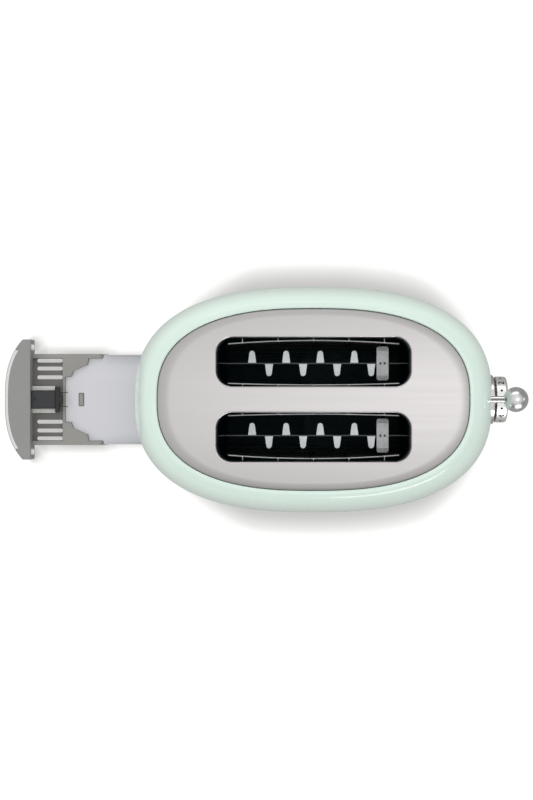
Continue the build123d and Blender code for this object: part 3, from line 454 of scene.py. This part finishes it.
world = bpy.data.worlds.new("studio")
bpy.context.scene.world = world
world.use_nodes = True
wn = world.node_tree
wn.nodes.clear()
wo = wn.nodes.new("ShaderNodeOutputWorld")
bg = wn.nodes.new("ShaderNodeBackground")
ways = wn.nodes.new("ShaderNodeTexCoord").outputs["Generated"]
wx, wy, wz = split(wn, ways)
ramp = wn.nodes.new("ShaderNodeValToRGB")
stops = [(0.0, 0.27), (0.35, 0.34), (0.60, 0.56), (0.78, 0.94), (1.0, 1.04)]
while len(ramp.color_ramp.elements) < len(stops):
    ramp.color_ramp.elements.new(0.5)
for el, (at, v) in zip(ramp.color_ramp.elements, stops):
    el.position = at
    el.color = (v, v, v, 1)
wn.links.new(wz, ramp.inputs["Fac"])
side = span(wn, wy, 0.85, 1.15, -1.0, 1.0)
dome = calc(wn, "MULTIPLY", ramp.outputs["Color"], side)
gx = calc(wn, "POWER", calc(wn, "DIVIDE", calc(wn, "SUBTRACT", wx, 0.14), 0.24), 2.0)
gy = calc(wn, "POWER", calc(wn, "DIVIDE", wy, 0.20), 2.0)
glow = span(wn, calc(wn, "SQRT", calc(wn, "ADD", gx, gy)), 1.0, 0.0, 0.0, 1.5, smooth=True)
glow = calc(wn, "MULTIPLY", glow, calc(wn, "GREATER_THAN", wz, 0.0))
dome = calc(wn, "MULTIPLY_ADD", glow, 1.9, dome)
lp = wn.nodes.new("ShaderNodeLightPath")
even = calc(wn, "MULTIPLY", span(wn, wz, 1.12, 0.77, 0.0, 0.9), span(wn, wy, 0.91, 1.09, -1.0, 1.0))
even = calc(wn, "ADD", even, span(wn, wz, 0.0, 0.9, 0.92, 0.97, smooth=True))
dome = calc(wn, "MULTIPLY_ADD", lp.outputs["Is Diffuse Ray"], calc(wn, "SUBTRACT", even, dome), dome)
seen = calc(wn, "MULTIPLY_ADD", lp.outputs["Is Camera Ray"], calc(wn, "SUBTRACT", 1.06, dome), dome)
wn.links.new(seen, bg.inputs["Strength"])
wn.links.new(bg.outputs["Background"], wo.inputs["Surface"])
bg.inputs["Color"].default_value = (1, 1, 1, 1)


def area(name, loc, aim, size, radiance, size_y, diffuse=True, glossy=True):
    """Soft box of the given radiance."""
    light = bpy.data.lights.new(name, "AREA")
    light.shape = "RECTANGLE"
    light.size = size
    light.size_y = size_y
    light.energy = radiance * math.pi * size * size_y
    o = bpy.data.objects.new(name, light)
    bpy.context.scene.collection.objects.link(o)
    o.location = loc
    o.rotation_euler = (Vector(aim) - Vector(loc)).to_track_quat("-Z", "Y").to_euler()
    o.visible_camera = False
    o.visible_diffuse = diffuse
    o.visible_glossy = glossy
    return o


area("rear_box", (BODY_X - 0.1, 1.5, 0.9), (BODY_X, 0, 0.15), 1.6, 1.6, 0.7)
area("front_box", (BODY_X - 0.1, -1.5, 1.1), (BODY_X, 0, 0.15), 1.6, 0.9, 0.6, glossy=False)
area("front_strip", (BODY_X + 0.50, -1.30, 0.60), (BODY_X, 0, 0.15), 0.95, 6.5, 0.55, diffuse=False)
area("left_box", (BODY_X - 1.5, 0.0, 1.0), (BODY_X, 0, 0.15), 1.2, 1.0, 0.6, glossy=False)
area("right_box", (BODY_X + 1.5, 0.05, 0.62), (BODY_X + 0.1, 0, 0.15), 0.5, 1.6, 0.3)

cam = bpy.data.cameras.new("camera")
cam.sensor_width = 36.0
cam.sensor_fit = "AUTO"
cam.lens = 1471.0 / 800.0 * 36.0
cam.shift_x = -47.0 / 800.0
cam.shift_y = -0.5 / 800.0
cam.clip_start = 0.05
camera = bpy.data.objects.new("camera", cam)
bpy.context.scene.collection.objects.link(camera)
camera.location = (BODY_X, 0, 1.3)
camera.rotation_euler = (0, 0, 0)
bpy.context.scene.camera = camera
bpy.context.scene.view_settings.view_transform = "Standard"
bpy.context.scene.view_settings.look = "None"
